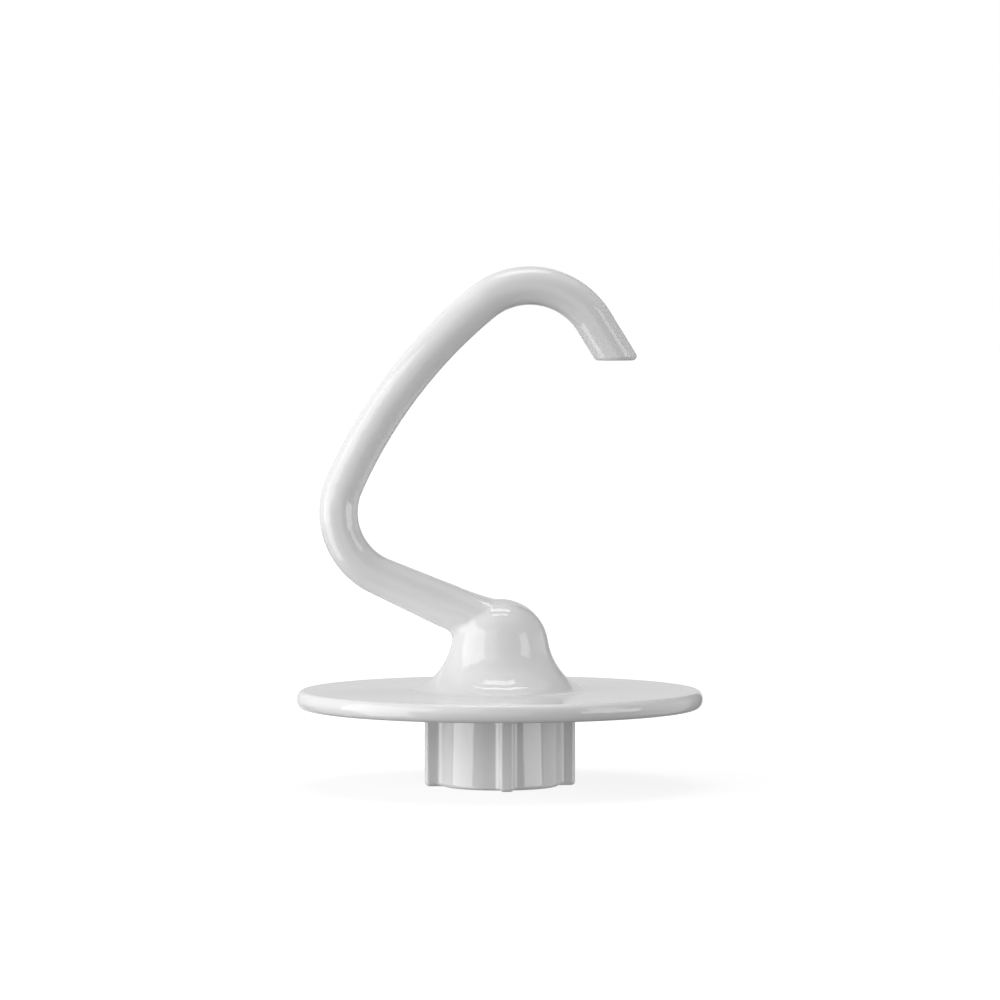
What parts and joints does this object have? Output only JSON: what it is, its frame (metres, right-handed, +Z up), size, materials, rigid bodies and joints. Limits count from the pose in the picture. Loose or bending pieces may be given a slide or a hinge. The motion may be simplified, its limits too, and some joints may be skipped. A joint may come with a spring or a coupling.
{
  "type": "stand mixer dough hook",
  "caption": "C-shaped dough hook for a stand mixer: ribbed drive hub with a shaft socket, round shield disc, flared dome and a bent round arm, cast in one piece and coated white.",
  "frame": {"origin": "centre of the hub's end face, on the shaft's axis", "axes": "+Z up along the shaft's axis, from the hub's end face to the top bend; -X towards the arm's back bend and +X towards its tip; +Y towards the pin slot"},
  "size_m": [0.108, 0.108, 0.1381],
  "materials": {
    "white_coating": "gloss"
  },
  "bodies": {
    "root": {"dough_hook": "white_coating"}
  },
  "joints": []
}
